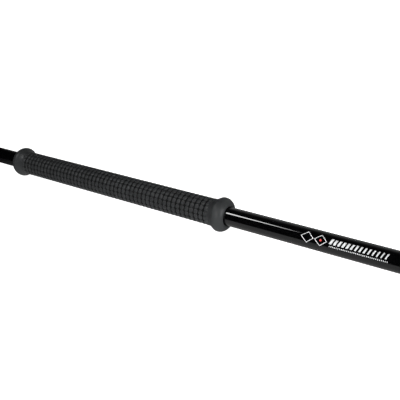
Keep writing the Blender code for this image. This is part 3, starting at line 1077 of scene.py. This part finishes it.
def floor_material():
    """Pale seamless paper that stays white, with the faintest grain."""
    material, tree, shader = new_material("pale_paper", 0.9)
    paper = add_grain(tree, object_coordinates(tree), 300.0, 0.86, 0.98)
    set_inputs(tree, shader, {
        "Base Color": add_mix(tree, paper["Height"], (0.80, 0.80, 0.80, 1.0), (0.84, 0.84, 0.84, 1.0)),
        "Roughness": paper["Value"],
        "Specular IOR Level": 0.0,
        "Emission Color": (1.0, 1.0, 1.0, 1.0),
        "Emission Strength": ROOM_WHITE,
    })
    return material


def make_floor(settings):
    shape = bmesh.new()
    bmesh.ops.create_grid(shape, x_segments=8, y_segments=8, size=settings.floor_size / 2)
    bmesh.ops.translate(shape, vec=(0, 0, CAD_LOW.z - FLOOR_GAP), verts=shape.verts)
    floor = new_object("floor", shape, floor_material())
    floor.visible_glossy = False


def studio_gloss(tree, direction):
    """The dark studio with its pale backdrop, as it is mirrored in the stick."""
    split = add_node(tree, "ShaderNodeSeparateXYZ", {0: direction}).outputs
    viewer_side = add_math(tree, "MULTIPLY", split["Y"], -1.0)
    angle = add_math(tree, "ARCTAN2", split["Z"], viewer_side)
    ramp = add_node(tree, "ShaderNodeValToRGB", {0: add_range(tree, angle, -math.pi, math.pi)})
    stops = ramp.color_ramp.elements
    while len(stops) < len(STUDIO_RAMP):
        stops.new(1.0)
    for stop, (degrees, level) in zip(stops, STUDIO_RAMP):
        stop.position = (degrees + 180) / 360
        stop.color = rgba((level, level, level))
    along, across = off_axis(tree, direction)
    shown_part = add_range(tree, add_math(tree, "DIVIDE", along, across), *GLOSS_LEFT)
    return add_mix(tree, shown_part, (0.0, 0.0, 0.0, 1.0), ramp.outputs["Color"])


def make_world():
    """A white room for the camera, a dark studio in the gloss and an even grey for the rest."""
    world = bpy.data.worlds.new("studio_room")
    bpy.context.scene.world = world
    world.use_nodes = True
    tree = world.node_tree
    tree.nodes.clear()
    gloss = studio_gloss(tree, add_node(tree, "ShaderNodeTexCoord").outputs["Generated"])
    rays = add_node(tree, "ShaderNodeLightPath").outputs
    ambient = add_mix(tree, rays["Is Glossy Ray"], rgba((AMBIENT,) * 3), gloss)
    shown = add_mix(tree, rays["Is Camera Ray"], ambient, rgba((ROOM_WHITE,) * 3))
    background = add_node(tree, "ShaderNodeBackground", {"Color": shown})
    add_node(tree, "ShaderNodeOutputWorld", {"Surface": background.outputs[0]})


def lamp_material(name, brightness):
    """The lit front of a softbox, very slightly cloudy."""
    material, tree = empty_material(name)
    cloth = add_grain(tree, object_coordinates(tree), 4.0)
    colour = add_mix(tree, cloth["Value"], (0.97, 0.97, 0.97, 1.0), (1.0, 1.0, 1.0, 1.0))
    glow = add_node(tree, "ShaderNodeEmission", {"Color": colour, "Strength": brightness})
    add_node(tree, "ShaderNodeOutputMaterial", {"Surface": glow.outputs[0]})
    return material


def make_card():
    """A long softbox with a pointed end that draws the tapering line in the gloss."""
    shape = bmesh.new()
    bmesh.ops.create_grid(shape, x_segments=2, y_segments=1, size=0.5)
    bmesh.ops.scale(shape, vec=(1, CARD_HEIGHT, 1), verts=shape.verts)
    for vert in shape.verts:        # the grid's columns stand at -0.5, 0 and 0.5
        if vert.co.x > 0.25:
            vert.co = (CARD_TIP, 0, 0)
        else:
            vert.co.x = CARD_SHOULDER if vert.co.x > -0.25 else CARD_LEFT
    bmesh.ops.remove_doubles(shape, verts=shape.verts, dist=MERGE_DISTANCE)
    away = Matrix.Translation(on_tube(0, 1, CARD_ANGLE) * CARD_DISTANCE)
    bmesh.ops.transform(shape, matrix=away @ Matrix.Rotation(math.pi / 2 - CARD_ANGLE, 4, "X"),
                        verts=shape.verts)
    card = new_object("strip_card", shape, lamp_material("softbox_cloth", CARD_BRIGHTNESS))
    card.visible_camera = False
    card.visible_diffuse = False
    card.visible_shadow = False


def make_lights():
    """Softboxes that pick out the rubber's blocks and flares, and a wide fill."""
    for name, centre, aim, size, power, beam, glossy in SOFTBOXES:
        data = bpy.data.lights.new(name, "AREA")
        data.shape = "RECTANGLE"
        data.size, data.size_y = size
        data.energy = power
        data.spread = beam
        lamp = bpy.data.objects.new(name, data)
        lamp.location = centre
        lamp.rotation_euler = (Vector((aim, 0, 0)) - Vector(centre)).to_track_quat("-Z", "Y").to_euler()
        lamp.visible_glossy = glossy
        bpy.context.scene.collection.objects.link(lamp)


def make_camera(settings):
    data = bpy.data.cameras.new("camera")
    data.lens = settings.lens
    data.sensor_width = 36.0
    data.clip_start = 0.01
    data.clip_end = 100.0
    camera = bpy.data.objects.new("camera", data)
    away = Vector((math.sin(settings.azimuth) * math.cos(settings.elevation),
                   -math.cos(settings.azimuth) * math.cos(settings.elevation),
                   math.sin(settings.elevation)))
    camera.location = Vector(settings.aim) + away * settings.distance
    camera.rotation_euler = (math.pi / 2 - settings.elevation, 0, settings.azimuth)
    bpy.context.scene.collection.objects.link(camera)
    bpy.context.scene.camera = camera


class DEVILSTICK_OT_make_stage(bpy.types.Operator):
    """Build the pale floor, the studio light and the camera"""
    bl_idname = "devilstick.make_stage"
    bl_label = "Make stage"

    def execute(self, context):
        settings = context.scene.devilstick_stage
        make_floor(settings)
        make_world()
        make_card()
        make_lights()
        make_camera(settings)
        context.scene.view_settings.view_transform = "Standard"
        return {"FINISHED"}


# -------------------- panel and registration

OPERATORS = (
    DEVILSTICK_OT_make_tube,
    DEVILSTICK_OT_make_grip,
    DEVILSTICK_OT_make_print,
    DEVILSTICK_OT_make_caps,
    DEVILSTICK_OT_make_fasteners,
    DEVILSTICK_OT_finish_core,
    DEVILSTICK_OT_make_stage,
)


class DEVILSTICK_PT_panel(bpy.types.Panel):
    """The stick's builders and their sizes"""
    bl_idname = "DEVILSTICK_PT_panel"
    bl_label = "Devil stick"
    bl_space_type = "VIEW_3D"
    bl_region_type = "UI"
    bl_category = "Devil stick"

    def draw(self, context):
        for operator in OPERATORS:
            self.layout.operator(operator.bl_idname)
        for name in SETTINGS:
            group = getattr(context.scene, name)
            box = self.layout.box()
            box.label(text=name.split("_")[1].capitalize())
            for prop in group.__annotations__:
                box.prop(group, prop)


def register():
    for settings_class in SETTINGS.values():
        bpy.utils.register_class(settings_class)
    for name, settings_class in SETTINGS.items():
        setattr(bpy.types.Scene, name, PointerProperty(type=settings_class))
    for operator in OPERATORS:
        bpy.utils.register_class(operator)
    bpy.utils.register_class(DEVILSTICK_PT_panel)


def unregister():
    bpy.utils.unregister_class(DEVILSTICK_PT_panel)
    for operator in reversed(OPERATORS):
        bpy.utils.unregister_class(operator)
    for name in SETTINGS:
        delattr(bpy.types.Scene, name)
    for settings_class in reversed(list(SETTINGS.values())):
        bpy.utils.unregister_class(settings_class)


def main():
    register()
    bpy.ops.devilstick.make_tube()
    bpy.ops.devilstick.make_grip()
    bpy.ops.devilstick.make_print()
    bpy.ops.devilstick.make_caps()
    bpy.ops.devilstick.make_fasteners()
    bpy.ops.devilstick.finish_core()
    bpy.ops.devilstick.make_stage()


if __name__ == "__main__":
    main()
